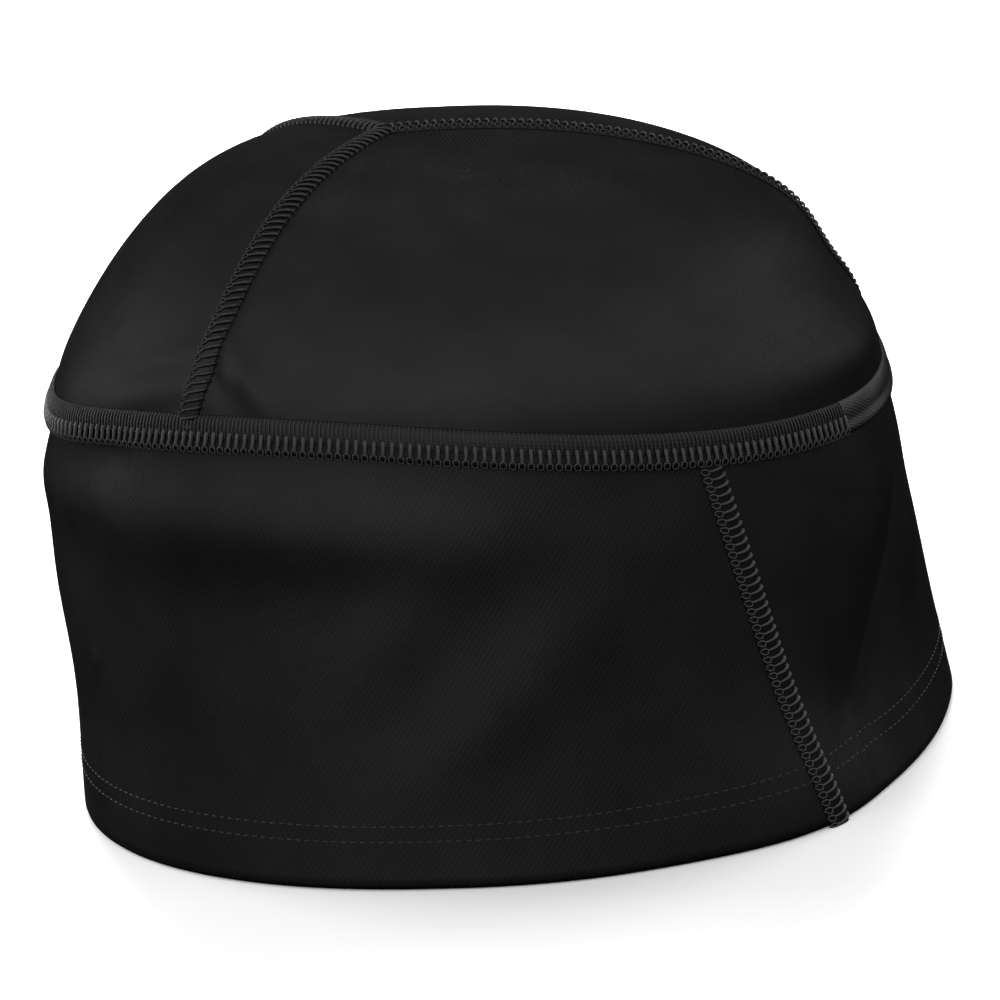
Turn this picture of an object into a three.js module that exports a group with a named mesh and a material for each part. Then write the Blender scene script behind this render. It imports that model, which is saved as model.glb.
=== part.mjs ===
// A close-fitting skull-cap beanie of thin satin-faced stretch knit, standing on its rim.
// Millimetres, +Z up. The front of the hat looks towards -Y and the wearer's right is -X.
// Every piece is cut from one surface: the band rises from the rim to the ring seam,
// and the crown rises from the ring seam to the point where its three seams meet.
import * as THREE from 'three';

const DEG = Math.PI / 180;

// Cloth and seams
const CLOTH = 1.2; // thickness of the knit
const GAP = 0.3; // clearance between neighbouring pieces
const STITCH_LIFT = 0.2; // how far a seam's edge stands above the cloth

// Outline of the band in plan at three levels, from the rim (0) to the ring seam (1).
// front, back and half width are reaches from the middle. The two squareness values
// are the powers of the outline: 2 is an ellipse and more is squarer.
const BAND_SECTIONS = [
  { level: 'rim', front: 92.6, back: 92.9, halfWidth: 84.6, frontPower: 2.15, backPower: 2.4 },
  { level: 'half way', front: 88.8, back: 90.4, halfWidth: 79.2, frontPower: 2.08, backPower: 2.28 },
  { level: 'ring', front: 83.9, back: 88.6, halfWidth: 74.4, frontPower: 2.0, backPower: 2.16 },
];

// Height of the ring seam: highest at the sides and lowest at the front, with a dip at
// the back
const RING = { mean: 87.2, lowerAtFront: 8.6, higherAtSides: 3.9, dipAtBack: 6.5 };
const RING_SEAM = { overBand: 3.0, overCrown: 4.2, proud: 1.5 };

// Crown: its seams meet a little behind the middle. A fullness of 2 is a round dome.
const APEX = { height: 134.9, behindMiddle: 15.1 };
const CROWN_FULLNESS = { front: 2.29, side: 1.97, back: 1.94 };
const CROWN_SEAM = { width: 5.0, proud: 0.7, tipFromApex: 1.0, widestMitre: 80 };
const PANEL_TIP_NARROWER = 8; // degrees taken off half a panel's corner at its tip

// Where each crown seam meets the ring, in degrees from the front towards the wearer's
// right, how far it bows sideways half way up, and how far its foot swings sideways
const CROWN_SEAMS = [
  { name: 'crown_seam_front', angle: -7.0, bow: 0, footSwing: -14.0 },
  { name: 'crown_seam_back_right', angle: 126.5, bow: -5.0, footSwing: 0 },
  { name: 'crown_seam_back_left', angle: 214.0, bow: 3.0, footSwing: 0 },
];

// Band seam: slants forward on its way down
const BAND_SEAM = { width: 5.1, proud: 0.7, angleAtRim: 36.9, angleAtRing: 45.3 };

// Hem: the band's lower edge, turned up inside
const HEM = { height: 14.5, edgeRounding: 0.6 };

// Folds and puffs of the worn cloth. angle is in degrees from the front towards the
// wearer's right. share is 0 at the rim, 1 at the ring seam and 2 at the top. wide (degrees)
// and tall (share) are its half size, lean is in degrees for each share of height,
// and rise is in millimetres, negative for a hollow.
const FOLDS = [
  { name: 'flare at the band seam', angle: 39, share: 0.05, wide: 14, tall: 0.25, lean: 0, rise: 3.3 },
  { name: 'hollow of the front right', angle: 15, share: 0.3, wide: 25, tall: 0.3, lean: 0, rise: -3.4 },
  { name: 'back corner of the rim', angle: 150, share: 0.1, wide: 22, tall: 0.35, lean: 0, rise: 2.5 },
  { name: 'full back of the band', angle: 175, share: 0.6, wide: 35, tall: 0.25, lean: 0, rise: 5.0 },
  { name: 'back puff under the ring', angle: 180, share: 0.84, wide: 45, tall: 0.16, lean: 0, rise: 3.0 },
  { name: 'flat front of the crown', angle: 0, share: 1.22, wide: 40, tall: 0.13, lean: 0, rise: -3.8 },
  { name: 'flat back of the crown', angle: 180, share: 1.25, wide: 40, tall: 0.2, lean: 0, rise: -0.7 },
  { name: 'full back of the crown', angle: 180, share: 1.65, wide: 50, tall: 0.2, lean: 0, rise: 2.6 },
  { name: 'full foot of the crown at the back', angle: 170, share: 1.06, wide: 45, tall: 0.15, lean: 0, rise: 1.2 },
  { name: 'pucker before the seam', angle: 114, share: 1.18, wide: 4, tall: 0.1, lean: 38, rise: 0.9 },
  { name: 'puff at the back right', angle: 153, share: 1.14, wide: 9, tall: 0.1, lean: 0, rise: 1.0 },
  { name: 'bulge over the ring, front right', angle: 14, share: 1.15, wide: 22, tall: 0.09, lean: 0, rise: 1.3 },
  { name: 'puff under the ring, right', angle: 108, share: 0.8, wide: 34, tall: 0.11, lean: 0, rise: 1.8 },
  { name: 'puff under the ring, left', angle: 248, share: 0.81, wide: 34, tall: 0.11, lean: 0, rise: 1.7 },
  { name: 'first drag fold', angle: 95, share: 0.58, wide: 8, tall: 0.24, lean: -58, rise: 0.6 },
  { name: 'second drag fold', angle: 78, share: 0.45, wide: 9, tall: 0.3, lean: -64, rise: 0.7 },
  { name: 'crease by the band seam', angle: 28.5, share: 0.2, wide: 6, tall: 0.16, lean: 12, rise: -1.2 },
  { name: 'fold down the front right', angle: 12, share: 0.55, wide: 7, tall: 0.35, lean: -48, rise: -1.1 },
];

// The whole hat is moved this far forward, so that its middle stands over the origin
const MOVED_FORWARD = 1.5;

// How finely the faces follow the shape
const AROUND = 84; // columns once round the hat
const BAND_ROWS = 8;
const CROWN_ROWS = 9;
const SEAM_ROWS = 20;
const BAND_SEAM_ROWS = 12;
const HEM_ROWS = 2;
const SEAM_COLUMNS = 4;
const FOOT_SEARCH_STEPS = 40;

// Steps over which the slope of the surface is measured, and how near the ring and the
// apex it is still measured
const SLOPE_STEP = { angle: 0.5 * DEG, share: 0.005, climb: 0.6 * DEG };
const SLOPE_LIMITS = { lowestClimb: 1.2 * DEG, highestClimb: 88 * DEG };

// Colours
const KNIT = { color: 0x141415, roughness: 0.5, metalness: 0.0 };
const SEAM_THREAD = { color: 0x1f1f20, roughness: 0.7, metalness: 0.0 };

// Value of one column of BAND_SECTIONS at a share of the height, on a smooth curve
// through the three levels
function sectionValue(column, share) {
  const [rim, middle, ring] = BAND_SECTIONS.map((section) => section[column]);
  const fromRim = rim * (1 - share) * (1 - 2 * share);
  const fromMiddle = middle * 4 * share * (1 - share);
  const fromRing = ring * share * (2 * share - 1);
  return fromRim + fromMiddle + fromRing;
}

// Point of the band's outline in plan, at an angle from the front
function outline(angle, share) {
  const forward = Math.cos(angle);
  const sideways = Math.sin(angle);
  const inFront = forward >= 0;
  const reach = sectionValue(inFront ? 'front' : 'back', share);
  const power = sectionValue(inFront ? 'frontPower' : 'backPower', share);
  const halfWidth = sectionValue('halfWidth', share);
  const sum = Math.abs(forward / reach) ** power + Math.abs(sideways / halfWidth) ** power;
  const radius = sum ** (-1 / power);
  return new THREE.Vector2(-radius * sideways, -radius * forward);
}

function ringHeight(angle) {
  return (
    RING.mean -
    RING.lowerAtFront * Math.cos(angle) -
    RING.higherAtSides * Math.cos(2 * angle) -
    RING.dipAtBack * Math.max(-Math.cos(angle), 0) ** 4
  );
}

// Height of the folds above the plain shape, in mm
function foldRise(angle, share) {
  let rise = 0;
  for (const fold of FOLDS) {
    const middle = fold.angle + fold.lean * (share - fold.share);
    const across = THREE.MathUtils.euclideanModulo(angle / DEG - middle + 180, 360) - 180;
    rise += fold.rise * Math.exp(-((across / fold.wide) ** 2) - ((share - fold.share) / fold.tall) ** 2);
  }
  return rise;
}

// Point of the plain band
function plainBand(angle, share) {
  const plan = outline(angle, share);
  return new THREE.Vector3(plan.x, plan.y, share * ringHeight(angle));
}

// Where the vertical plane from the apex, towards a plan direction, cuts the ring
function ringFoot(direction) {
  let near = 0;
  let far = 2 * sectionValue('back', 1);
  const place = new THREE.Vector2();
  let angle = 0;
  for (let step = 0; step < FOOT_SEARCH_STEPS; step += 1) {
    const distance = (near + far) / 2;
    place.set(-distance * Math.sin(direction), APEX.behindMiddle - distance * Math.cos(direction));
    angle = Math.atan2(-place.x, -place.y);
    if (place.length() < outline(angle, 1).length()) {
      near = distance;
    } else {
      far = distance;
    }
  }
  return { angle, distance: near, height: ringHeight(angle) };
}

function fullness(direction) {
  const forward = Math.cos(direction);
  const end = forward >= 0 ? CROWN_FULLNESS.front : CROWN_FULLNESS.back;
  return CROWN_FULLNESS.side + (end - CROWN_FULLNESS.side) * forward * forward;
}

// Point of the plain crown: climb is 0 at the ring and 90 degrees at the apex
function plainCrown(direction, climb) {
  const foot = ringFoot(direction);
  const power = 2 / fullness(direction);
  const distance = foot.distance * Math.cos(climb) ** power;
  const height = foot.height + (APEX.height - foot.height) * Math.sin(climb) ** power;
  return new THREE.Vector3(
    -distance * Math.sin(direction),
    APEX.behindMiddle - distance * Math.cos(direction),
    height,
  );
}

// Climb at which the crown has risen a height above the ring
function climbAtRise(direction, rise) {
  const foot = ringFoot(direction);
  return Math.asin((rise / (APEX.height - foot.height)) ** (fullness(direction) / 2));
}

// Outward normal of a surface given by a function of two values
function normalOf(surface, first, second, firstStep, secondStep) {
  const alongFirst = surface(first + firstStep, second).sub(surface(first - firstStep, second));
  const alongSecond = surface(first, second + secondStep).sub(surface(first, second - secondStep));
  return alongSecond.cross(alongFirst).normalize();
}

// Point of the band, raised above (or sunk below) the cloth's outer face. The wall's
// thickness is measured level, so the rim stays flat.
function bandPoint(angle, share, lift) {
  const point = plainBand(angle, share);
  const normal = normalOf(plainBand, angle, share, SLOPE_STEP.angle, SLOPE_STEP.share);
  return point.addScaledVector(normal.setZ(0).normalize(), lift + foldRise(angle, share));
}

// Point of the crown, raised above (or sunk below) the cloth's outer face
function crownPoint(direction, climb, lift) {
  const point = plainCrown(direction, climb);
  const measured = THREE.MathUtils.clamp(climb, SLOPE_LIMITS.lowestClimb, SLOPE_LIMITS.highestClimb);
  const normal = normalOf(plainCrown, direction, measured, SLOPE_STEP.angle, SLOPE_STEP.climb);
  const share = 1 + climb / (90 * DEG);
  return point.addScaledVector(normal, lift + foldRise(ringFoot(direction).angle, share));
}

// Crown place (direction and climb) over a point in plan, measured from the apex
function crownPlace(plan) {
  const direction = Math.atan2(-plan.x, -plan.y);
  const share = Math.min(1, plan.length() / ringFoot(direction).distance);
  return { direction, climb: Math.acos(share ** (fullness(direction) / 2)) };
}

// Direction from the apex to a place on the ring
function directionToRing(angle) {
  const foot = outline(angle, 1);
  return Math.atan2(-foot.x, APEX.behindMiddle - foot.y);
}

// Closed solid from a grid of points on its outer face and the same grid on its inner
// face. Rows run upwards. Columns run towards the wearer's right, and join up if looped.
function wallGeometry(outer, inner, looped) {
  const rows = outer.length;
  const columns = outer[0].length;
  const points = [...outer, ...inner].flat();
  const outside = (row, column) => row * columns + (column % columns);
  const inside = (row, column) => rows * columns + outside(row, column);
  const triangles = [];
  const quad = (a, b, c, d) => triangles.push(a, b, c, a, c, d);
  const top = rows - 1;
  const cells = looped ? columns : columns - 1;
  for (let column = 0; column < cells; column += 1) {
    const next = column + 1;
    for (let row = 0; row < top; row += 1) {
      const above = row + 1;
      quad(outside(row, column), outside(above, column), outside(above, next), outside(row, next));
      quad(inside(row, column), inside(row, next), inside(above, next), inside(above, column));
    }
    quad(outside(0, column), outside(0, next), inside(0, next), inside(0, column));
    quad(outside(top, column), inside(top, column), inside(top, next), outside(top, next));
  }
  if (!looped) {
    const end = columns - 1;
    for (let row = 0; row < top; row += 1) {
      const above = row + 1;
      quad(outside(row, 0), inside(row, 0), inside(above, 0), outside(above, 0));
      quad(outside(row, end), outside(above, end), inside(above, end), inside(row, end));
    }
  }
  const geometry = new THREE.BufferGeometry();
  const positions = points.flatMap((point) => point.toArray());
  geometry.setAttribute('position', new THREE.Float32BufferAttribute(positions, 3));
  geometry.setIndex(triangles);
  geometry.computeVertexNormals();
  return geometry;
}

function clothMesh(name, geometry, finish) {
  const mesh = new THREE.Mesh(geometry, new THREE.MeshStandardMaterial(finish));
  mesh.name = name;
  return mesh;
}

// Grid of points: pointAt(across, up) with both shares from 0 to 1
function grid(columns, rows, looped, pointAt) {
  const points = [];
  for (let row = 0; row <= rows; row += 1) {
    const line = [];
    for (let column = 0; column < columns + (looped ? 0 : 1); column += 1) {
      line.push(pointAt(column / columns, row / rows));
    }
    points.push(line);
  }
  return points;
}

// Rounded section of a seam: how far it stands above the cloth, from edge to edge
function seamLift(across, proud) {
  return STITCH_LIFT + (proud - STITCH_LIFT) * Math.sin(Math.PI * across);
}

// Band: one length of cloth round the head, closed by the band seam
function seamAngle(share) {
  return THREE.MathUtils.lerp(BAND_SEAM.angleAtRim, BAND_SEAM.angleAtRing, share) * DEG;
}

// Angle of a line that runs beside the band seam, a distance away from its middle
function besideBandSeam(share, distance) {
  const angle = seamAngle(share);
  return angle + distance / outline(angle, share).length();
}

// Share of the band's height at a distance under the ring line
function bandShareUnderRing(angle, distance) {
  return 1 - distance / ringHeight(angle);
}

function bandGeometry() {
  const clear = BAND_SEAM.width / 2 + GAP;
  const topDrop = RING_SEAM.overBand + GAP;
  const pointAt = (across, up, lift) => {
    const start = besideBandSeam(up, clear);
    const end = besideBandSeam(up, -clear) + 360 * DEG;
    const angle = THREE.MathUtils.lerp(start, end, across);
    return bandPoint(angle, up * bandShareUnderRing(angle, topDrop), lift);
  };
  const face = (lift) => grid(AROUND, BAND_ROWS, false, (across, up) => pointAt(across, up, lift));
  const line = (lift, height) => {
    const [rim] = grid(AROUND, 1, false, (across) => pointAt(across, 0, lift).setZ(height));
    return rim;
  };
  // The turned edge is rounded outside, and flat where it stands
  const outer = face(0);
  outer.splice(0, 1, line(-HEM.edgeRounding, 0), line(0, HEM.edgeRounding));
  const inner = face(-CLOTH);
  inner.splice(0, 1, line(-CLOTH, 0), line(-CLOTH, HEM.edgeRounding));
  return wallGeometry(outer, inner, false);
}

// Ring seam: a raised strip round the head, half over the band and half over the crown
function ringSeamGeometry() {
  const face = (liftAt) => grid(AROUND, SEAM_COLUMNS, true, (across, up) => {
    const angle = across * 360 * DEG;
    const above = (up * 2 - 1) * (up < 0.5 ? RING_SEAM.overBand : RING_SEAM.overCrown);
    if (above <= 0) return bandPoint(angle, bandShareUnderRing(angle, -above), liftAt(up));
    const direction = directionToRing(angle);
    return crownPoint(direction, climbAtRise(direction, above), liftAt(up));
  });
  return wallGeometry(face((up) => seamLift(up, RING_SEAM.proud)), face(() => -CLOTH), true);
}

// Centre line of a crown seam in plan, measured from the apex
function crownSeamPlace(seam, climb) {
  const up = climb / (90 * DEG);
  const sideways = 4 * seam.bow * up * (1 - up) + seam.footSwing * (1 - up) ** 2;
  const direction = directionToRing(seam.angle * DEG) + sideways * DEG;
  const foot = ringFoot(direction);
  const distance = foot.distance * Math.cos(climb) ** (2 / fullness(direction));
  return { direction, distance };
}

// Crown place beside a crown seam: sideways is positive towards the wearer's right
function besideCrownSeam(seam, climb, sideways) {
  const { direction, distance } = crownSeamPlace(seam, climb);
  const plan = new THREE.Vector2(
    -distance * Math.sin(direction) - sideways * Math.cos(direction),
    -distance * Math.cos(direction) + sideways * Math.sin(direction),
  );
  return crownPlace(plan);
}

// Climb of the crown's lower edge, just above the ring seam
function lowerEdge(direction) {
  return climbAtRise(direction, RING_SEAM.overCrown + GAP);
}

// Climb along a seam at which its centre line is a distance from the apex
function climbAtDistance(seam, distance) {
  const direction = directionToRing(seam.angle * DEG);
  return Math.acos((distance / ringFoot(direction).distance) ** (fullness(direction) / 2));
}

// Half the angle between a crown seam and its neighbour on one side, in plan
function halfAngleToNeighbour(seam, side) {
  const index = CROWN_SEAMS.indexOf(seam);
  const count = CROWN_SEAMS.length;
  const neighbour = CROWN_SEAMS[(index + side + count) % count];
  const turn = side * (directionToRing(neighbour.angle * DEG) - directionToRing(seam.angle * DEG));
  return THREE.MathUtils.euclideanModulo(turn, 360 * DEG) / 2;
}

// Crown seam: a raised strip from the ring to the apex, where the three are mitred
function crownSeamGeometry(seam) {
  const half = CROWN_SEAM.width / 2;
  const foot = lowerEdge(directionToRing(seam.angle * DEG));
  const top = climbAtDistance(seam, CROWN_SEAM.tipFromApex);
  const face = (liftAt) => grid(SEAM_COLUMNS, SEAM_ROWS, false, (across, up) => {
    const climb = THREE.MathUtils.lerp(foot, top, up);
    const { distance } = crownSeamPlace(seam, climb);
    const side = across < 0.5 ? -1 : 1;
    const corner = Math.min(halfAngleToNeighbour(seam, side), CROWN_SEAM.widestMitre * DEG);
    const reach = Math.min(half, distance * Math.tan(corner) - GAP);
    const place = besideCrownSeam(seam, climb, (across * 2 - 1) * reach);
    const start = besideCrownSeam(seam, foot, (across * 2 - 1) * half);
    const settled = place.climb + (lowerEdge(place.direction) - start.climb) * (1 - up);
    return crownPoint(place.direction, settled, liftAt(across));
  });
  return wallGeometry(face((across) => seamLift(across, CROWN_SEAM.proud)), face(() => -CLOTH), false);
}

// Crown panel: the cloth between two crown seams, running to a narrow tip near the apex
function crownPanelGeometry(first, second) {
  const clear = CROWN_SEAM.width / 2 + GAP;
  const turn = 2 * halfAngleToNeighbour(first, 1);
  const tip = clear / Math.sin(turn / 2 - PANEL_TIP_NARROWER * DEG);
  const columns = Math.round(AROUND * turn / (360 * DEG));
  const edge = (seam, sideways, up) => {
    const foot = lowerEdge(directionToRing(seam.angle * DEG));
    return besideCrownSeam(seam, THREE.MathUtils.lerp(foot, climbAtDistance(seam, tip), up), sideways);
  };
  const face = (lift) => grid(columns, CROWN_ROWS, false, (across, up) => {
    const start = edge(first, clear, up);
    const end = edge(second, -clear, up);
    const sweep = THREE.MathUtils.euclideanModulo(end.direction - start.direction, 360 * DEG);
    const direction = start.direction + sweep * across;
    const climb = THREE.MathUtils.lerp(start.climb, end.climb, across);
    const feet = [edge(first, clear, 0).climb, edge(second, -clear, 0).climb];
    const toLowerEdge = lowerEdge(direction) - THREE.MathUtils.lerp(...feet, across);
    return crownPoint(direction, climb + toLowerEdge * (1 - up), lift);
  });
  return wallGeometry(face(0), face(-CLOTH), false);
}

// Band seam: a raised strip from the rim to the ring seam
function bandSeamGeometry() {
  const half = BAND_SEAM.width / 2;
  const face = (liftAt) => grid(SEAM_COLUMNS, BAND_SEAM_ROWS, false, (across, up) => {
    const angle = besideBandSeam(up, (across * 2 - 1) * half);
    return bandPoint(angle, up * bandShareUnderRing(angle, RING_SEAM.overBand + GAP), liftAt(across));
  });
  return wallGeometry(face((across) => seamLift(across, BAND_SEAM.proud)), face(() => -CLOTH), false);
}

// Hem: the turned-up layer inside the foot of the band
function hemGeometry() {
  const face = (lift) => grid(AROUND, HEM_ROWS, true, (across, up) => {
    const angle = across * 360 * DEG;
    return bandPoint(angle, up * HEM.height / ringHeight(angle), lift);
  });
  const outside = -CLOTH - GAP;
  return wallGeometry(face(outside), face(outside - CLOTH), true);
}

const crown = new THREE.Group();
const [frontSeam, backRightSeam, backLeftSeam] = CROWN_SEAMS;
crown.add(clothMesh('crown_panel_right', crownPanelGeometry(frontSeam, backRightSeam), KNIT));
crown.add(clothMesh('crown_panel_back', crownPanelGeometry(backRightSeam, backLeftSeam), KNIT));
crown.add(clothMesh('crown_panel_left', crownPanelGeometry(backLeftSeam, frontSeam), KNIT));
for (const seam of CROWN_SEAMS) {
  crown.add(clothMesh(seam.name, crownSeamGeometry(seam), SEAM_THREAD));
}

const headBand = new THREE.Group();
headBand.add(clothMesh('band', bandGeometry(), KNIT));
headBand.add(clothMesh('band_seam', bandSeamGeometry(), SEAM_THREAD));
headBand.add(clothMesh('hem', hemGeometry(), KNIT));

const group = new THREE.Group();
group.position.y = -MOVED_FORWARD;
group.add(crown, headBand);
group.add(clothMesh('ring_seam', ringSeamGeometry(), SEAM_THREAD));

export default group;
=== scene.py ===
import math

import bpy
import numpy as np
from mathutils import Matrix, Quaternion, Vector


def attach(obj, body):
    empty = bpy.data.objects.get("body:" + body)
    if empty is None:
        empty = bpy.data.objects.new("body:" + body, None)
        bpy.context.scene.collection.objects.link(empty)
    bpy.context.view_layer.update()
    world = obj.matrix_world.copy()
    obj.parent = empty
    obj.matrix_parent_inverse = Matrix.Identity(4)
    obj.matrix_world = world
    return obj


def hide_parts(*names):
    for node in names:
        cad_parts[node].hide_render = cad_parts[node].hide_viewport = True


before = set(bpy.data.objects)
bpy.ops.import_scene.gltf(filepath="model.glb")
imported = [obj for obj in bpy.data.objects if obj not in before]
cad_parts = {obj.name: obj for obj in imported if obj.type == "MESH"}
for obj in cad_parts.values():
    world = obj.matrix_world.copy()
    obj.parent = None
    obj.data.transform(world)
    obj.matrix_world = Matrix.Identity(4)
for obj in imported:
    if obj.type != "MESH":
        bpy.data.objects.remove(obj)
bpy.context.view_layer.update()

# Band: one length of satin-faced stretch knit round the head, closed by the slanted band
# seam and sewn to the crown along the ring seam. Its lower edge is turned up inside, so
# the rim is a soft fold. Angles run from the front towards the wearer's right.
degree = math.pi / 180
cloth = 0.0012  # thickness of the knit
turn = 0.00135  # radius of the fold at the rim

# Outline of the band in plan at three levels: the rim, half way up and the ring seam
band_front = (0.0926, 0.0888, 0.0839)  # reach of the outline from the middle, at each level
band_back = (0.0929, 0.0904, 0.0886)
band_half_width = (0.0846, 0.0792, 0.0744)
band_front_power = (2.15, 2.08, 2.0)  # power of the outline: 2 is an ellipse, more is squarer
band_back_power = (2.4, 2.28, 2.16)
moved_forward = 0.0015  # so that the middle of the hat stands over the origin
band_slope_step = 0.005  # over which the slope of the band is measured, in radians

# Height of the ring seam, which waves round the head
ring_height = 0.0872
ring_lower_at_front = 0.0086
ring_higher_at_sides = 0.0039
ring_dip_at_back = 0.0065

band_seam_at_rim = 36.9  # angle of the slanted band seam at its two ends
band_seam_at_ring = 45.3

# Folds of the worn cloth: angle, share of height (0 rim, 1 ring, 2 top), half width in
# degrees, half height in shares, lean in degrees for each share, and rise
folds = {
    "flare at the band seam": (39, 0.05, 14, 0.25, 0, 0.0033),
    "hollow of the front right": (15, 0.3, 25, 0.3, 0, -0.0034),
    "back corner of the rim": (150, 0.1, 22, 0.35, 0, 0.0025),
    "full back of the band": (175, 0.6, 35, 0.25, 0, 0.0050),
    "back puff under the ring": (180, 0.84, 45, 0.16, 0, 0.0030),
    "flat front of the crown": (0, 1.22, 40, 0.13, 0, -0.0038),
    "flat back of the crown": (180, 1.25, 40, 0.2, 0, -0.0007),
    "full back of the crown": (180, 1.65, 50, 0.2, 0, 0.0026),
    "full foot of the crown at the back": (170, 1.06, 45, 0.15, 0, 0.0012),
    "pucker before the seam": (116.3, 1.185, 2.6, 0.09, 34, 0.0012),
    "crease before the seam": (120.6, 1.15, 2.0, 0.07, 34, -0.0007),
    "upper pucker behind the seam": (131.5, 1.21, 7, 0.07, -110, 0.0008),
    "lower pucker behind the seam": (134, 1.11, 7, 0.05, -110, 0.0006),
    "puff at the back right": (151.5, 1.04, 9.5, 0.12, 0, 0.0022),
    "first drag fold": (95, 0.58, 8, 0.24, -58, 0.0006),
    "second drag fold": (78, 0.45, 9, 0.3, -64, 0.0007),
    "crease by the band seam": (28.5, 0.2, 6, 0.16, 12, -0.0012),
    "fold down the front right": (12, 0.55, 7, 0.35, -48, -0.0011),
    "puff under the ring at the side": (108, 0.8, 34, 0.11, 0, 0.0018),
    "dip under the ring": (140.5, 0.94, 4.5, 0.06, 0, -0.0008),
    "puff under the ring at the back right": (151, 0.83, 8, 0.08, 0, 0.0009),
    "puff under the ring at the back corner": (163, 0.84, 9, 0.08, 0, 0.0011),
    "puff under the ring before the corner": (124, 0.82, 15, 0.1, 0, 0.0005),
    "bulge over the ring at the front right": (14, 1.15, 22, 0.09, 0, 0.0013),
    "roll over the ring at the front right": (10, 1.1, 15, 0.05, 0, 0.0012),
    "sharp crease down the front right": (12, 0.58, 0.9, 0.22, -51, -0.0005),
    "sharp crease by the band seam": (28.7, 0.16, 0.9, 0.09, 3, 0.0006),
    "nick at the back right": (146.6, 0.44, 0.9, 0.03, 0, 0.0005),
    "puff under the ring on the left": (248, 0.81, 34, 0.11, 0, 0.0017),
    "pucker before the left seam": (228, 1.17, 3.6, 0.09, -34, 0.0009),
    "pucker behind the left seam": (201, 1.19, 6, 0.07, 90, 0.0007),
    "first drag fold on the left": (262, 0.55, 9, 0.26, 60, 0.0006),
    "second drag fold on the left": (284, 0.42, 8, 0.28, 55, 0.0007),
    "fold down the front left": (342, 0.5, 7, 0.3, 44, -0.0009),
    "fold at the back left": (205, 0.35, 8, 0.25, -30, 0.0006),
}


def between_levels(values, up):
    """A value on a smooth curve through the values at the rim, half way and the ring."""
    rim, middle, ring = values
    return rim * (1 - up) * (1 - 2 * up) + middle * 4 * up * (1 - up) + ring * up * (2 * up - 1)


def band_radius(angle, up):
    forward, sideways = np.cos(angle), np.sin(angle)
    front = forward >= 0
    reach = np.where(front, between_levels(band_front, up), between_levels(band_back, up))
    power = np.where(
        front, between_levels(band_front_power, up), between_levels(band_back_power, up)
    )
    half_width = between_levels(band_half_width, up)
    return (abs(forward / reach) ** power + abs(sideways / half_width) ** power) ** (-1 / power)


def height_of_ring(angle):
    return (
        ring_height
        - ring_lower_at_front * np.cos(angle)
        - ring_higher_at_sides * np.cos(2 * angle)
        - ring_dip_at_back * np.maximum(-np.cos(angle), 0) ** 4
    )


def fold_rise(angle, up):
    """How far the folds raise the cloth over its plain shape."""
    rise = 0
    for middle, level, wide, tall, lean, height in folds.values():
        aside = (angle / degree - middle - lean * (up - level) + 180) % 360 - 180
        rise = rise + height * np.exp(-((aside / wide) ** 2) - ((up - level) / tall) ** 2)
    return rise


def plain_band(angle, up):
    radius = band_radius(angle, up)
    return np.stack(
        [-radius * np.sin(angle), -radius * np.cos(angle), up * height_of_ring(angle)], -1
    )


def outward(surface, first, second, step):
    """Outward direction of a surface that is given by two values."""
    across = surface(first + step, second) - surface(first - step, second)
    upward = surface(first, second + step) - surface(first, second - step)
    direction = np.cross(upward, across)
    return direction / np.linalg.norm(direction, axis=-1, keepdims=True)


def on_band(angle, up, lift=0.0):
    """Place on the band, raised by lift over its outer face. The lift is level."""
    angle, up, lift = np.broadcast_arrays(angle, up, lift)
    level = outward(plain_band, angle, up, band_slope_step)
    level[..., 2] = 0
    level /= np.linalg.norm(level, axis=-1, keepdims=True)
    place = plain_band(angle, up) + (lift + fold_rise(angle, up))[..., None] * level
    place[..., 1] -= moved_forward
    return place


def band_seam_angle(up):
    return (band_seam_at_rim + (band_seam_at_ring - band_seam_at_rim) * up) * degree


def lay_cloth(name, columns, rows, place, flat, thickness=cloth):
    """A sheet of cloth that faces outwards. place(across, up) puts each point of a flat
    grid, both values from 0 to 1, and flat(across, up) is that point on the flat cloth in
    metres, for its UV map."""
    bpy.ops.object.select_all(action="DESELECT")
    bpy.ops.mesh.primitive_grid_add(
        x_subdivisions=columns, y_subdivisions=rows, size=1, calc_uvs=True
    )
    sheet = bpy.context.object
    sheet.name = sheet.data.name = name
    points = np.empty(len(sheet.data.vertices) * 3)
    sheet.data.vertices.foreach_get("co", points)
    points = points.reshape(-1, 3)
    across, up = 0.5 - points[:, 0], points[:, 1] + 0.5
    sheet.data.vertices.foreach_set("co", place(across, up).ravel())
    corner = np.empty(len(sheet.data.loops), int)
    sheet.data.loops.foreach_get("vertex_index", corner)
    on_flat = np.stack(flat(across[corner], up[corner]), -1)
    sheet.data.uv_layers[0].data.foreach_set("uv", on_flat.ravel())
    sheet.data.update()
    bpy.ops.object.mode_set(mode="EDIT")
    bpy.ops.mesh.select_all(action="SELECT")
    bpy.ops.mesh.remove_doubles(threshold=1e-6)
    bpy.ops.object.mode_set(mode="OBJECT")
    if thickness:
        wall = sheet.modifiers.new("wall", "SOLIDIFY")
        wall.thickness = thickness
        wall.offset = -1
        bpy.ops.object.modifier_apply(modifier="wall")
    bpy.ops.object.shade_smooth()
    return sheet


seam_gap = 0.0016  # from a seam's centre line to the edge of the cloth under it
ring_gap = 0.0012  # the same for the ring seam
turn_rows = 6  # rows of the mesh round the fold at the rim
band_rows = 60
band_columns = 480
band_round = 0.545  # length of the band's mesh when it is laid out flat
band_tall = 0.0905


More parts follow.
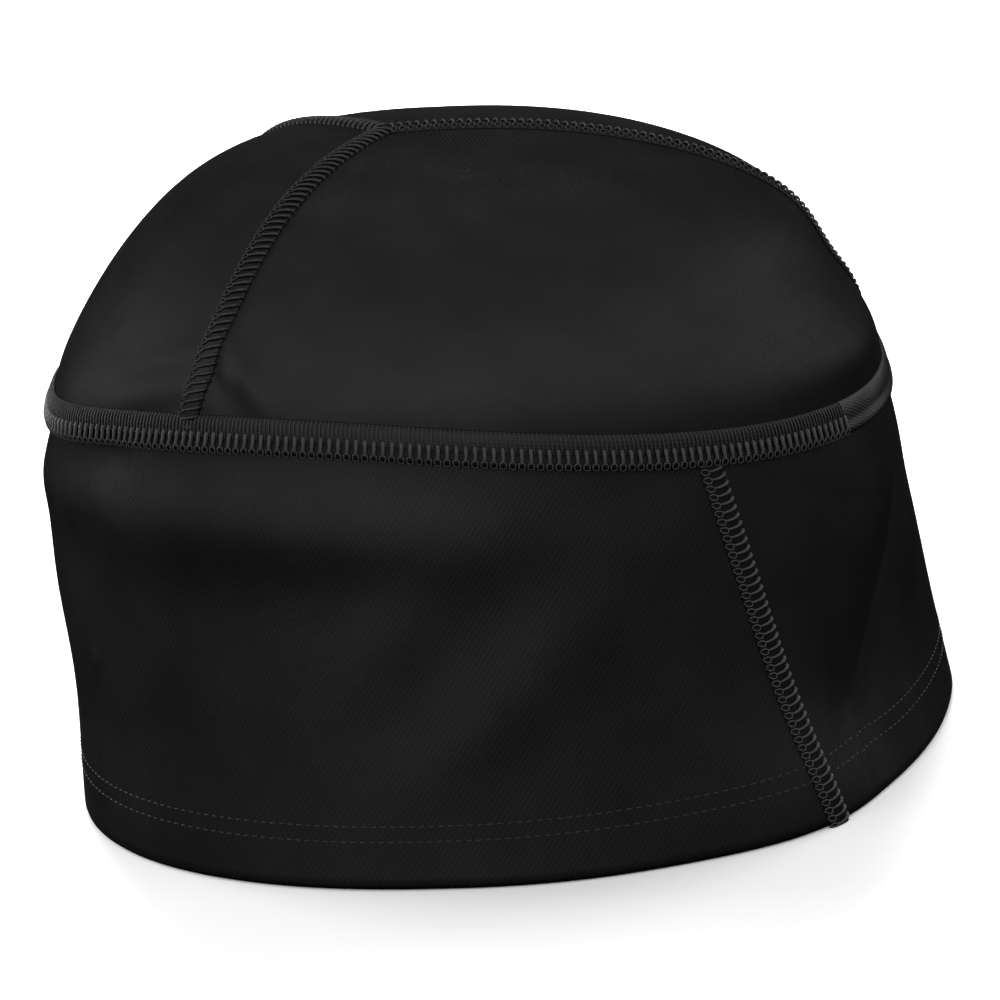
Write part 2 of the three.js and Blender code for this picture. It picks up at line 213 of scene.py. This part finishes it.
def shape_band(across, up):
    row = up * (band_rows + turn_rows) - turn_rows
    share = np.clip(row / band_rows, 0, 1)
    angle = band_seam_angle(share)
    beside = seam_gap / band_radius(angle, share)
    angle = angle + beside + across * (2 * math.pi - 2 * beside)
    lowest = turn / height_of_ring(angle)
    top = 1 - ring_gap / height_of_ring(angle)
    place = on_band(angle, lowest + share * (top - lowest))
    # Below the wall, the cloth turns inwards round the rim
    bend = np.clip(-row / turn_rows, 0, 1) * math.pi
    turned = on_band(angle, lowest, turn * (np.cos(bend) - 1))
    turned[..., 2] = turn * (1 - np.sin(bend))
    return np.where((row < 0)[..., None], turned, place)


def band_flat(across, up):
    return across * band_round, up * band_tall


band = lay_cloth("band", band_columns, band_rows + turn_rows, shape_band, band_flat)

# Satin knit: black stretch cloth with a smooth, softly glossy face of very fine ribs that
# run up the band, crossed by the slanted rows of the knit
rib_wave = 0.314  # scale of the wave that gives one rib in each unit
row_wave = 0.25  # the same for the slanted rows, which are about two ribs and a half apart
row_relief = 0.5  # height of the rows, when that of the ribs is 1
painted_rib_shade = 0.3  # how much the relief paints shade between the ribs and the slanted rows, and how much the blotches change the tone
blotch_shade = 0.55


def wire(nodes, links, kind, settings=None, **inputs):
    """Adds a node, sets its options and its named or numbered inputs."""
    node = nodes.new(kind)
    for setting, value in (settings or {}).items():
        setattr(node, setting, value)
    for key, value in inputs.items():
        socket = node.inputs[int(key[1:])] if key[0] == "_" else node.inputs[key.replace("_", " ")]
        if isinstance(value, bpy.types.NodeSocket):
            links.new(value, socket)
        else:
            socket.default_value = value
    return node.outputs


knit_face = bpy.data.node_groups.new("knit face", "ShaderNodeTree")
for socket, way, kind in (
    ("Flat cloth", "INPUT", "NodeSocketVector"),
    ("Ribs in a metre", "INPUT", "NodeSocketFloat"),
    ("Relief", "OUTPUT", "NodeSocketFloat"),  # up on the ribs
    ("Shade", "OUTPUT", "NodeSocketFloat"),  # 0 dark and 1 light: painted shade between the ribs, and random blotches of tone
):
    knit_face.interface.new_socket(socket, in_out=way, socket_type=kind)
nodes, links = knit_face.nodes, knit_face.links
given = nodes.new("NodeGroupInput").outputs
scaled = wire(
    nodes,
    links,
    "ShaderNodeVectorMath",
    {"operation": "SCALE"},
    _0=given["Flat cloth"],
    Scale=given["Ribs in a metre"],
)[0]
ribs = wire(
    nodes, links, "ShaderNodeTexWave", {"bands_direction": "X"}, Vector=scaled, Scale=rib_wave
)
rows = wire(
    nodes,
    links,
    "ShaderNodeTexWave",
    {"bands_direction": "DIAGONAL"},
    Vector=scaled,
    Scale=row_wave,
    Distortion=0.6,
)
blotches = wire(
    nodes, links, "ShaderNodeTexNoise", Vector=given["Flat cloth"], Scale=70.0, Detail=4.0
)["Fac"]
relief = wire(
    nodes,
    links,
    "ShaderNodeMath",
    {"operation": "MULTIPLY_ADD"},
    _0=rows["Fac"],
    _1=row_relief,
    _2=ribs["Fac"],
)[0]
faint_blotches = wire(
    nodes, links, "ShaderNodeMath", {"operation": "MULTIPLY"}, _0=blotches, _1=blotch_shade
)[0]
shade = wire(
    nodes,
    links,
    "ShaderNodeMath",
    {"operation": "MULTIPLY_ADD", "use_clamp": True},
    _0=relief,
    _1=painted_rib_shade,
    _2=faint_blotches,
)[0]
put_out = nodes.new("NodeGroupOutput")
links.new(relief, put_out.inputs["Relief"])
links.new(shade, put_out.inputs["Shade"])

satin_black = (0.0212, 0.0212, 0.0217)
satin_darkest = 0.6  # share of that black in the painted shade between the ribs and in dark blotches, and on top of the ribs and in light blotches
satin_lightest = 1.4
satin_roughness = 0.5
roughness_range = 0.04
ribs_in_a_metre = 2000.0

satin = bpy.data.materials.new("satin knit")
satin.use_nodes = True
nodes, links = satin.node_tree.nodes, satin.node_tree.links
satin_shader = nodes["Principled BSDF"]
flat_cloth = nodes.new("ShaderNodeTexCoord").outputs["UV"]
face = nodes.new("ShaderNodeGroup")
face.node_tree = knit_face
links.new(flat_cloth, face.inputs["Flat cloth"])
face.inputs["Ribs in a metre"].default_value = ribs_in_a_metre
# The colour is painted darker between the ribs as shade, and varies at random with the blotches
colour = wire(
    nodes,
    links,
    "ShaderNodeMix",
    {"data_type": "RGBA"},
    _0=face.outputs["Shade"],
    _6=(*(satin_darkest * c for c in satin_black), 1),
    _7=(*(satin_lightest * c for c in satin_black), 1),
)[2]
links.new(colour, satin_shader.inputs["Base Color"])
roughness = wire(
    nodes,
    links,
    "ShaderNodeMapRange",
    Value=face.outputs["Shade"],
    To_Min=satin_roughness - roughness_range,
    To_Max=satin_roughness + roughness_range,
)[0]
links.new(roughness, satin_shader.inputs["Roughness"])
bump = wire(
    nodes, links, "ShaderNodeBump", Strength=0.3, Distance=0.00008, Height=face.outputs["Relief"]
)[0]
links.new(bump, satin_shader.inputs["Normal"])
# The filaments shine in their own dark colour, and hardly more at a glancing angle
satin_shader.inputs["Metallic"].default_value = 0.9
satin_shader.inputs["Specular IOR Level"].default_value = 0.0
satin_shader.inputs["Specular Tint"].default_value = (0.28, 0.28, 0.28, 1)

band.data.materials.append(satin)
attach(band, "root")
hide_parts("band")

# Hem: the band's lower edge, turned up inside and lying flat against the band. It is the
# same satin knit, held by two rows of stitches that are made further down.
hem_height = 0.0145
hem_round = 0.54  # length of the hem when it is laid out flat
hem_clear = 0.00002  # from the band's inner face


def shape_hem(across, up):
    angle = -across * 2 * math.pi
    level = (turn + up * (hem_height - turn)) / height_of_ring(angle)
    return on_band(angle, level, -2 * turn - hem_clear)


def hem_flat(across, up):
    return across * hem_round, up * hem_height


hem = lay_cloth("hem", 280, 6, shape_hem, hem_flat)
hem.data.materials.append(satin)
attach(hem, "root")
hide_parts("hem")

# Crown panels: three pieces of the same knit, cut to points that meet at the apex a
# little behind the middle. They are sewn to each other and to the band, and stretched
# into a dome by the head.
apex_height = 0.1349
apex_behind_middle = 0.0151
crown_front_power = 2.29  # how full the crown is: 2 is a round dome
crown_side_power = 1.97
crown_back_power = 1.94
panel_length = 0.115  # from the apex to the ring, along the flat cloth
panel_tip_narrower = 8  # degrees taken off half a panel's corner at its tip
crown_slope_step = 0.01  # over which the slope of the crown is measured, in radians
lowest_slope = 0.021  # as near the ring and the apex as it is measured
highest_slope = 88 * degree
foot_search_steps = 34

crown_seams = {  # angle at the ring, sideways bow half way up, and sideways swing of the foot
    "front": (-7.0, 0.0, -14.0),
    "back right": (126.5, -5.0, 0.0),
    "back left": (214.0, 3.0, 0.0),
}


def foot_on_ring(direction):
    """Where the vertical plane from the apex, towards a direction, cuts the ring: the
    ring's angle there, and its distance from the apex in plan."""
    near = np.zeros(np.shape(direction))
    far = np.full(np.shape(direction), 2 * band_back[2])
    for _ in range(foot_search_steps):
        distance = (near + far) / 2
        x = -distance * np.sin(direction)
        y = apex_behind_middle - distance * np.cos(direction)
        angle = np.arctan2(-x, -y)
        inside = np.hypot(x, y) < band_radius(angle, 1.0)
        near = np.where(inside, distance, near)
        far = np.where(inside, far, distance)
    return angle, near


def crown_power(direction):
    """How full the crown is, blended round from the front to the side and the back."""
    forward = np.cos(direction)
    end = np.where(forward >= 0, crown_front_power, crown_back_power)
    return crown_side_power + (end - crown_side_power) * forward**2


def plain_crown(direction, climb):
    angle, distance = foot_on_ring(direction)
    foot = height_of_ring(angle)
    power = 2 / crown_power(direction)
    reach = distance * np.cos(climb) ** power
    return np.stack(
        [
            -reach * np.sin(direction),
            apex_behind_middle - reach * np.cos(direction),
            foot + (apex_height - foot) * np.sin(climb) ** power,
        ],
        -1,
    )


def on_crown(direction, climb, lift=0.0):
    """Place on the crown, raised by lift. climb is 0 at the ring and 90 degrees on top."""
    direction, climb, lift = np.broadcast_arrays(direction, climb, lift)
    measured = np.clip(climb, lowest_slope, highest_slope)
    normal = outward(plain_crown, direction, measured, crown_slope_step)
    angle = foot_on_ring(direction)[0]
    rise = lift + fold_rise(angle, 1 + climb / (90 * degree))
    place = plain_crown(direction, climb) + rise[..., None] * normal
    place[..., 1] -= moved_forward
    return place


def climb_at_rise(direction, rise):
    """The climb at which the crown is so far above the ring."""
    foot = height_of_ring(foot_on_ring(direction)[0])
    return np.arcsin((rise / (apex_height - foot)) ** (crown_power(direction) / 2))


def direction_to_ring(angle):
    """The direction from the apex, in plan, to the ring at an angle."""
    radius = band_radius(angle, 1.0)
    return np.arctan2(radius * np.sin(angle), apex_behind_middle + radius * np.cos(angle))


def beside_seam(seam, climb, aside):
    """Direction and climb of a place beside a crown seam, aside towards the wearer's right."""
    angle, bow, foot_swing = crown_seams[seam]
    up = climb / (90 * degree)
    sideways = 4 * bow * up * (1 - up) + foot_swing * (1 - up) ** 2
    direction = direction_to_ring(angle * degree) + sideways * degree
    distance = foot_on_ring(direction)[1] * np.cos(climb) ** (2 / crown_power(direction))
    x = -distance * np.sin(direction) - aside * np.cos(direction)
    y = -distance * np.cos(direction) + aside * np.sin(direction)
    direction = np.arctan2(-x, -y)
    share = np.minimum(1, np.hypot(x, y) / foot_on_ring(direction)[1])
    return direction, np.arccos(share ** (crown_power(direction) / 2))


def climb_near_apex(seam, distance):
    """The climb of a crown seam at a distance from the apex in plan."""
    direction = direction_to_ring(crown_seams[seam][0] * degree)
    foot = foot_on_ring(direction)[1]
    return np.arccos((distance / foot) ** (crown_power(direction) / 2))


def panel_shape(first, second):
    corner = (
        direction_to_ring(crown_seams[second][0] * degree)
        - direction_to_ring(crown_seams[first][0] * degree)
    ) % (2 * math.pi)
    tip = seam_gap / math.sin(corner / 2 - panel_tip_narrower * degree)

    def edge(seam, aside, up):
        foot = climb_at_rise(direction_to_ring(crown_seams[seam][0] * degree), ring_gap)
        climb = foot + (climb_near_apex(seam, tip) - foot) * up
        return beside_seam(seam, climb, aside)

    def place(across, up):
        start, start_climb = edge(first, seam_gap, up)
        end, end_climb = edge(second, -seam_gap, up)
        direction = start + ((end - start) % (2 * math.pi)) * across
        climb = start_climb + (end_climb - start_climb) * across
        first_foot = edge(first, seam_gap, 0.0)[1]
        foot = first_foot + (edge(second, -seam_gap, 0.0)[1] - first_foot) * across
        return on_crown(direction, climb + (climb_at_rise(direction, ring_gap) - foot) * (1 - up))

    return place


panels = (  # name, the seams on its two sides, and its length along the ring
    ("crown_panel_right", "front", "back right", 0.19),
    ("crown_panel_back", "back right", "back left", 0.12),
    ("crown_panel_left", "back left", "front", 0.19),
)
for name, first, second, length in panels:
    corner = (crown_seams[second][0] - crown_seams[first][0]) % 360 * degree

    def panel_flat(across, up):
        from_apex = panel_length * (1 - up)
        aside = (across - 0.5) * corner
        return from_apex * np.sin(aside), from_apex * np.cos(aside)

    panel = lay_cloth(name, 140, 64, panel_shape(first, second), panel_flat)
    panel.data.materials.append(satin)
    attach(panel, "root")
    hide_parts(name)

# Crown seams: flat seams that join the panels. Each is a raised strip of the two edges
# of the cloth, under a cover thread that crosses from side to side and a finer thread
# that loops along the edge.
crown_seam_half = 0.0025
seam_underside = -cloth
seam_section = (  # from edge to edge over the top, then back underneath: aside, lift
    (1.0, 0.00002),
    (0.97, 0.0002),
    (0.75, 0.0005),
    (0.4, 0.00066),
    (0.0, 0.0007),
    (-0.4, 0.00066),
    (-0.75, 0.0005),
    (-0.97, 0.0002),
    (-1.0, 0.00002),
    (-0.58, 0.00001),
    (-0.56, seam_underside),
    (0.56, seam_underside),
    (0.58, 0.00001),
)
strip_across = 0.012  # a strip laid out flat: once round its section, and each station
strip_station = 0.0017


def sew_strip(name, stations, section, place):
    """A closed strip along a seam. place(aside, along, lift), aside from -1 to 1."""
    outline = np.array(section)

    def shape(across, up):
        corner = np.rint(across * len(outline)).astype(int) % len(outline)
        return place(outline[corner, 0], up, outline[corner, 1])

    def strip_flat(across, up):
        return across * strip_across, up * stations * strip_station

    strip = lay_cloth(name, len(outline), stations, shape, strip_flat, thickness=0)
    bpy.ops.object.mode_set(mode="EDIT")
    bpy.ops.mesh.select_all(action="SELECT")
    bpy.ops.mesh.region_to_loop()
    bpy.ops.mesh.edge_face_add()
    bpy.ops.mesh.select_all(action="SELECT")
    bpy.ops.mesh.normals_make_consistent(inside=False)
    bpy.ops.object.mode_set(mode="OBJECT")
    return strip


# The cloth under the stitches: the same black knit, its colour painted darker than the satin as
# the shade where it is pulled down between them
painted_shade_seam_cloth = bpy.data.materials.new("seam cloth with painted shade")
painted_shade_seam_cloth.use_nodes = True
nodes, links = painted_shade_seam_cloth.node_tree.nodes, painted_shade_seam_cloth.node_tree.links
painted_shade_seam_cloth_shader = nodes["Principled BSDF"]
flat_cloth = nodes.new("ShaderNodeTexCoord").outputs["UV"]
face = nodes.new("ShaderNodeGroup")
face.node_tree = knit_face
links.new(flat_cloth, face.inputs["Flat cloth"])
face.inputs["Ribs in a metre"].default_value = ribs_in_a_metre
# Painted shade: darker than the satin's black, and darker still between the ribs
colour = wire(
    nodes,
    links,
    "ShaderNodeMix",
    {"data_type": "RGBA"},
    _0=face.outputs["Shade"],
    _6=(0.01, 0.01, 0.0102, 1),
    _7=(0.02, 0.02, 0.0204, 1),
)[2]
links.new(colour, painted_shade_seam_cloth_shader.inputs["Base Color"])
bump = wire(
    nodes, links, "ShaderNodeBump", Strength=0.2, Distance=0.0001, Height=face.outputs["Relief"]
)[0]
links.new(bump, painted_shade_seam_cloth_shader.inputs["Normal"])
painted_shade_seam_cloth_shader.inputs["Metallic"].default_value = 1.0
painted_shade_seam_cloth_shader.inputs["Roughness"].default_value = 0.6
painted_shade_seam_cloth_shader.inputs["Specular Tint"].default_value = (0.1, 0.1, 0.1, 1)


# The thread: filament yarn, two plies twisted round each other. It is grey and matt on
# the band and the ring seam, and dark and shiny on the crown.
def thread_finish(name, dark, light, metallic):
    thread = bpy.data.materials.new(name)
    thread.use_nodes = True
    nodes, links = thread.node_tree.nodes, thread.node_tree.links
    shader = nodes["Principled BSDF"]
    place_on_hat = nodes.new("ShaderNodeTexCoord").outputs["Object"]
    yarn = wire(
        nodes, links, "ShaderNodeTexNoise", Vector=place_on_hat, Scale=900.0, Detail=2.0
    )["Fac"]
    colour = wire(
        nodes,
        links,
        "ShaderNodeMix",
        {"data_type": "RGBA"},
        _0=yarn,
        _6=(dark, dark, 1.02 * dark, 1),
        _7=(light, light, 1.02 * light, 1),
    )[2]
    links.new(colour, shader.inputs["Base Color"])
    plies = wire(
        nodes,
        links,
        "ShaderNodeTexWave",
        {"bands_direction": "DIAGONAL"},
        Vector=place_on_hat,
        Scale=700.0,
        Distortion=2.0,
    )["Fac"]
    bump = wire(nodes, links, "ShaderNodeBump", Strength=0.35, Distance=0.00008, Height=plies)[0]
    links.new(bump, shader.inputs["Normal"])
    shader.inputs["Metallic"].default_value = metallic
    shader.inputs["Roughness"].default_value = 0.5
    shader.inputs["Specular IOR Level"].default_value = 0.1
    shader.inputs["Specular Tint"].default_value = (0.3, 0.3, 0.3, 1)
    return thread


seam_finish = thread_finish("seam thread", 0.042, 0.062, 0.0)
fine_finish = thread_finish("ladder thread", 0.028, 0.042, 0.0)
crown_finish = thread_finish("crown thread", 0.03, 0.046, 1.0)

stitch = 0.0018  # from one stitch to the next along a seam
bold_thread = 0.00027  # radius of the cover thread that crosses a seam
fine_thread = 0.00015  # radius of the thread that loops along its edge
seam_top = 0.0005  # how near the apex a crown seam ends

# One stitch seen from above: a rung across the seam and a loop round its edge. Each point
# is along the seam in stitches, aside from -1 to 1, and above the strip in metres.
rung = (
    (0.42, -1.03, -0.0002),
    (0.36, -0.93, 0.0002),
    (0.16, -0.68, 0.00036),
    (-0.02, -0.34, 0.00036),
    (-0.14, 0.04, 0.00028),
    (-0.22, 0.4, 0.0001),
)
edge_loop = (
    (-0.3, 0.32, 0.00005),
    (-0.62, 0.52, 0.00024),
    (-0.66, 0.8, 0.00022),
    (-0.38, 1.0, 0.0001),
    (-0.06, 0.9, 0.00018),
    (0.06, 0.62, 0.00024),
    (-0.18, 0.32, 0.00005),
)
rung_taper = (0.9, 1.55, 1.45, 1.1, 0.9, 0.7)  # the cover thread is fullest at one end


def run_threads(
    name,
    thickness,
    place,
    section,
    shape,
    taper=None,
    pitch=stitch,
    skip=None,
    finish=seam_finish,
):
    """The same thread shape at every stitch along a seam, as one piece. The threads lie on
    the top of the seam's section, and stitches for which skip is true are left out."""
    share = np.linspace(0, 1, 400)
    middle = place(0 * share, share, 0.0)
    length = np.append(0, np.cumsum(np.linalg.norm(np.diff(middle, axis=0), axis=1)))
    count = round(length[-1] / pitch)
    pitch = length[-1] / count
    start = pitch * (0.5 + np.arange(count))
    along, aside, above = np.array(shape).T
    top = np.array(section)
    top = top[: int(np.argmin(top[:, 0])) + 1]
    base = np.interp(aside, top[::-1, 0], top[::-1, 1])
    along = np.interp(start[:, None] + along * pitch, length, share)
    aside = np.broadcast_to(aside, along.shape)
    runs = place(aside, along, base + above)
    runs[..., 2] = np.maximum(runs[..., 2], 2 * thickness)  # none goes under the table
    if skip is not None:
        runs = runs[~skip(along[:, 0])]
    curve = bpy.data.curves.new(name, "CURVE")
    curve.dimensions = "3D"
    curve.bevel_depth = thickness
    curve.bevel_resolution = 1
    curve.use_fill_caps = True
    for run in runs:
        spline = curve.splines.new("POLY")
        spline.points.add(len(run) - 1)
        spline.points.foreach_set("co", np.column_stack([run, np.ones(len(run))]).ravel())
        if taper:
            spline.points.foreach_set("radius", taper)
    threads = bpy.data.objects.new(name, curve)
    bpy.context.scene.collection.objects.link(threads)
    bpy.ops.object.select_all(action="DESELECT")
    threads.select_set(True)
    bpy.context.view_layer.objects.active = threads
    bpy.ops.object.convert(target="MESH")
    bpy.ops.object.shade_smooth()
    threads = bpy.context.object
    threads.data.materials.append(finish)
    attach(threads, "root")
    return threads


def crown_seam_place(seam):
    foot = climb_at_rise(direction_to_ring(crown_seams[seam][0] * degree), ring_gap)
    top = climb_near_apex(seam, seam_top)

    def place(aside, along, lift):
        climb = foot + (top - foot) * along
        direction, climb = beside_seam(seam, climb, aside * crown_seam_half)
        return on_crown(direction, climb, lift)

    return place


for seam in crown_seams:
    name = "crown_seam_" + seam.replace(" ", "_")
    place = crown_seam_place(seam)
    strip = sew_strip(name, 120, seam_section, place)
    run_threads(
        name + "_rungs", bold_thread, place, seam_section, rung, rung_taper, finish=crown_finish
    )
    run_threads(
        name + "_loops", fine_thread, place, seam_section, edge_loop, finish=crown_finish
    )
    strip.data.materials.append(satin)
    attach(strip, "root")
    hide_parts(name)

# Band seam: the flat seam that closes the band, slanting forward on its way down. It is
# made like the crown seams, in a lighter thread.
band_seam_half = 0.00255


def band_seam_place(aside, along, lift):
    angle = band_seam_angle(along)
    angle = angle + aside * band_seam_half / band_radius(angle, along)
    return on_band(angle, along * (1 - ring_gap / height_of_ring(angle)), lift)


band_seam = sew_strip("band_seam", 90, seam_section, band_seam_place)
run_threads("band_seam_rungs", bold_thread, band_seam_place, seam_section, rung, rung_taper)
run_threads("band_seam_loops", fine_thread, band_seam_place, seam_section, edge_loop)
# Painted shade: the cloth under the band seam's stitches is coloured darker than the satin
band_seam.data.materials.append(painted_shade_seam_cloth)
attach(band_seam, "root")
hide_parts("band_seam")

# Ring seam: joins the crown to the band, and stands up as a rolled ridge of the two
# edges. Stitches cover it all round but for a stretch at the front.
ring_over_band = 0.003  # how far it reaches down over the band, and up over the crown
ring_over_crown = 0.0042
ring_section = (  # 1 is the upper edge
    (1.0, 0.00002),
    (0.97, 0.0003),
    (0.8, 0.0007),
    (0.5, 0.00105),
    (0.25, 0.0012),
    (0.05, 0.0012),
    (-0.15, 0.0012),
    (-0.4, 0.00148),
    (-0.7, 0.0015),
    (-0.9, 0.0013),
    (-1.0, 0.0008),
    (-1.0, 0.00002),
    (-0.42, 0.00001),
    (-0.4, seam_underside),
    (0.4, seam_underside),
    (0.42, 0.00001),
)


def ring_place(aside, along, lift):
    angle = -along * 2 * math.pi
    angle, aside, lift = np.broadcast_arrays(angle, aside, lift)
    drop = np.minimum(aside, 0) * ring_over_band
    below = on_band(angle, 1 + drop / height_of_ring(angle), lift)
    direction = direction_to_ring(angle)
    rise = np.maximum(aside, 0) * ring_over_crown
    above = on_crown(direction, climb_at_rise(direction, rise), lift)
    return np.where((aside > 0)[..., None], above, below)


# The ring seam's stitches: loops round the lower edge, rungs up to the middle, and a
# finer ladder over the upper half
ring_loop = (
    (0.0, -0.42, 0.00015),
    (-0.36, -0.6, 0.00022),
    (-0.42, -0.86, 0.00018),
    (-0.12, -1.04, 0.0),
    (0.24, -0.9, 0.00018),
    (0.3, -0.62, 0.00022),
    (0.04, -0.42, 0.00015),
)
ring_rung = (
    (0.0, -0.52, 0.0001),
    (0.02, -0.4, 0.00028),
    (0.08, -0.14, 0.00036),
    (0.12, 0.1, 0.00026),
    (0.12, 0.26, -0.0001),
)
ring_rung_taper = (1.2, 1.25, 1.35, 1.6, 1.5)
ring_ladder = (
    (0.0, 0.05, 0.0),
    (0.0, 0.2, 0.00016),
    (0.03, 0.5, 0.00018),
    (0.05, 0.8, 0.00016),
    (0.05, 0.98, 0.0),
)
ring_ladder_between = tuple((along + 0.5, aside, above) for along, aside, above in ring_ladder)
ladder_thread = 0.00012  # radius of the ladder's thread
smooth_at_front = 19.0  # either side of the front, where the seam's cover is plain


def plain_front(along):
    angle = (-along * 360 + 180) % 360 - 180
    return abs(angle) < smooth_at_front


ring_seam = sew_strip("ring_seam", 300, ring_section, ring_place)
for name, thickness, shape, taper, finish in (
    ("ring_seam_loops", fine_thread, ring_loop, None, seam_finish),
    ("ring_seam_rungs", bold_thread, ring_rung, ring_rung_taper, seam_finish),
    ("ring_seam_ladder", ladder_thread, ring_ladder, None, fine_finish),
    ("ring_seam_ladder_between", ladder_thread, ring_ladder_between, None, fine_finish),
):
    run_threads(
        name,
        thickness,
        ring_place,
        ring_section,
        shape,
        taper,
        skip=plain_front,
        finish=finish,
    )

# Satin shows over the crown and the cloth painted dark as shade over the band; the plain front is
# a lighter copy of the satin, a painted sheen
ring_seam.data.materials.append(satin)
ring_seam.data.materials.append(painted_shade_seam_cloth)
# Painted sheen: the plain front's cloth is coloured lighter than the satin
ring_seam.data.materials.append(thread_finish("front ridge with painted sheen", 0.032, 0.04, 1.0))
upper_zone = 4.6 / len(ring_section)  # how far round the section the crown's satin reaches
on_flat = ring_seam.data.uv_layers[0].data
for face in ring_seam.data.polygons:
    middle = face.center
    front = abs(math.atan2(middle.x, -(middle.y + moved_forward)) / degree) < smooth_at_front
    round_section = [on_flat[i].uv.x / strip_across for i in face.loop_indices]
    upper = sum(round_section) / len(round_section) < upper_zone
    # The plain front takes the painted sheen, the lower zone under the stitches the painted shade
    if front:
        face.material_index = 2
    else:
        face.material_index = 0 if upper else 1
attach(ring_seam, "root")
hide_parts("ring_seam")

# Hem stitches: two rows of plain dashes outside, and the thread that runs to and fro
# between them inside. They hold the turned-up edge to the band.
hem_rows = {"lower": 0.01035, "upper": 0.01355}  # height of each row over the rim
hem_stitch = 0.002
dash_thread = 0.00013  # radius of the outside rows' thread
hem_inside_lift = -2 * turn - 0.00012  # just behind the hem's cloth
hem_dash = (
    (-0.27, 0, -0.00014),
    (-0.2, 0, 0.00002),
    (0, 0, 0.00008),
    (0.2, 0, 0.00002),
    (0.27, 0, -0.00014),
)
flat_section = ((1.0, 0.0), (0.0, 0.0), (-1.0, 0.0))


def hem_row_place(height):
    def place(aside, along, lift):  # each dash lies along its row, so aside is always 0
        angle = -along * 2 * math.pi
        return on_band(angle, height / height_of_ring(angle), lift)

    return place


def under_band_seam(along):
    seam = band_seam_angle(hem_rows["lower"] / ring_height) / degree
    half = band_seam_half / band_half_width[0] / degree
    return abs((-along * 360 - seam + 180) % 360 - 180) < half


for row, height in hem_rows.items():
    run_threads(
        "hem_stitches_" + row,
        dash_thread,
        hem_row_place(height),
        flat_section,
        hem_dash,
        pitch=hem_stitch,
        skip=under_band_seam,
        finish=fine_finish,
    )
hem_middle = sum(hem_rows.values()) / 2
hem_half = (hem_rows["upper"] - hem_rows["lower"]) / 2


def hem_inside_place(aside, along, lift):
    angle = -along * 2 * math.pi
    level = (hem_middle + aside * hem_half) / height_of_ring(angle)
    return on_band(angle, level, hem_inside_lift - lift)


hem_inside = (
    (-0.5, -1.0, 0.0),
    (-0.2, -1.0, 0.0001),
    (0.1, 0.0, 0.0001),
    (0.3, 1.0, 0.0001),
    (0.6, 1.0, 0.0),
)
run_threads(
    "hem_stitches_inside",
    fine_thread,
    hem_inside_place,
    flat_section,
    hem_inside,
    pitch=hem_stitch,
)

# Floor: a plain pale table top, far wider than the picture
bpy.ops.object.select_all(action="DESELECT")
bpy.ops.mesh.primitive_plane_add(size=12)
floor = bpy.context.object
floor.name = "floor"
paper = bpy.data.materials.new("pale paper")
paper.use_nodes = True
paper.node_tree.nodes["Principled BSDF"].inputs["Base Color"].default_value = (0.9, 0.9, 0.9, 1)
paper.node_tree.nodes["Principled BSDF"].inputs["Roughness"].default_value = 0.9
floor.data.materials.append(paper)

# Light: a pale tent over the table and soft boxes round it. The floor is left out of the
# cloth's reflections, as a dark cloth is photographed clear of a white table.
tent_strength = 0.7
box_distance = 1.2
box_size = 0.7
hat_middle = Vector((0, 0, 0.07))  # what the soft boxes and the camera look towards

floor.visible_diffuse = False
floor.visible_glossy = False
world = bpy.data.worlds.new("studio")
bpy.context.scene.world = world
world.use_nodes = True
nodes, links = world.node_tree.nodes, world.node_tree.links
tent = nodes["Background"]
tent.inputs["Color"].default_value = (1, 1, 1, 1)
towards_sky = nodes.new("ShaderNodeTexCoord").outputs["Generated"]
height = wire(nodes, links, "ShaderNodeSeparateXYZ", Vector=towards_sky)["Z"]
over_table = wire(
    nodes, links, "ShaderNodeMath", {"operation": "GREATER_THAN"}, _0=height, _1=0.0
)[0]
tent_light = wire(
    nodes, links, "ShaderNodeMath", {"operation": "MULTIPLY"}, _0=over_table, _1=tent_strength
)[0]
links.new(tent_light, tent.inputs["Strength"])
bpy.context.scene.view_settings.view_transform = "Standard"


def soft_box(name, azimuth, elevation, power):
    """A square soft box that shines on the hat. Angles are in degrees, power in watts."""
    bpy.ops.object.light_add(type="AREA")
    box = bpy.context.object
    box.name = name
    box.data.size = box_size
    box.data.energy = power
    turn_round, climb = azimuth * degree, elevation * degree
    towards = Vector(
        (
            math.sin(turn_round) * math.cos(climb),
            -math.cos(turn_round) * math.cos(climb),
            math.sin(climb),
        )
    )
    box.location = towards * box_distance + hat_middle
    box.rotation_mode = "QUATERNION"
    box.rotation_quaternion = towards.to_track_quat("Z", "Y")


soft_box("box behind", 102.97, 34, 27.0)
soft_box("box behind the left", 162.97, 18, 7.0)
soft_box("low box behind the left", 162.97, 5, 11.0)
soft_box("box behind the right", 42.97, 18, 6.5)
soft_box("low box behind the right", 42.97, 5, 2.5)
soft_box("low box by the camera", 252.97, 5, 2.2)
soft_box("box over the camera", 282.97, 34, 2.5)
soft_box("box at the left", 222.97, 34, 2.2)
soft_box("box at the right", 342.97, 34, 1.8)

# Camera: a long lens on the wearer's right, a little in front of the side, turned so that
# the hat's front end is the higher one
camera_azimuth = 282.97
camera_elevation = 18.6
camera_roll = 6.77
camera_distance = 1.05  # from the middle of the hat
camera_aim = (-0.00495, -0.00251, 0.05399)  # the point in the middle of the picture
camera_data = bpy.data.cameras.new("camera")
camera_data.sensor_width = 36
camera_data.lens = 178.6
camera = bpy.data.objects.new("camera", camera_data)
bpy.context.scene.collection.objects.link(camera)
bpy.context.scene.camera = camera
side, climb = camera_azimuth * degree, camera_elevation * degree
towards = Vector(
    (math.sin(side) * math.cos(climb), -math.cos(side) * math.cos(climb), math.sin(climb))
)
camera.location = hat_middle + towards * camera_distance
camera.rotation_mode = "QUATERNION"
backwards = camera.location - Vector(camera_aim)
camera.rotation_quaternion = backwards.to_track_quat("Z", "Y") @ Quaternion(
    (0, 0, 1), -camera_roll * degree
)
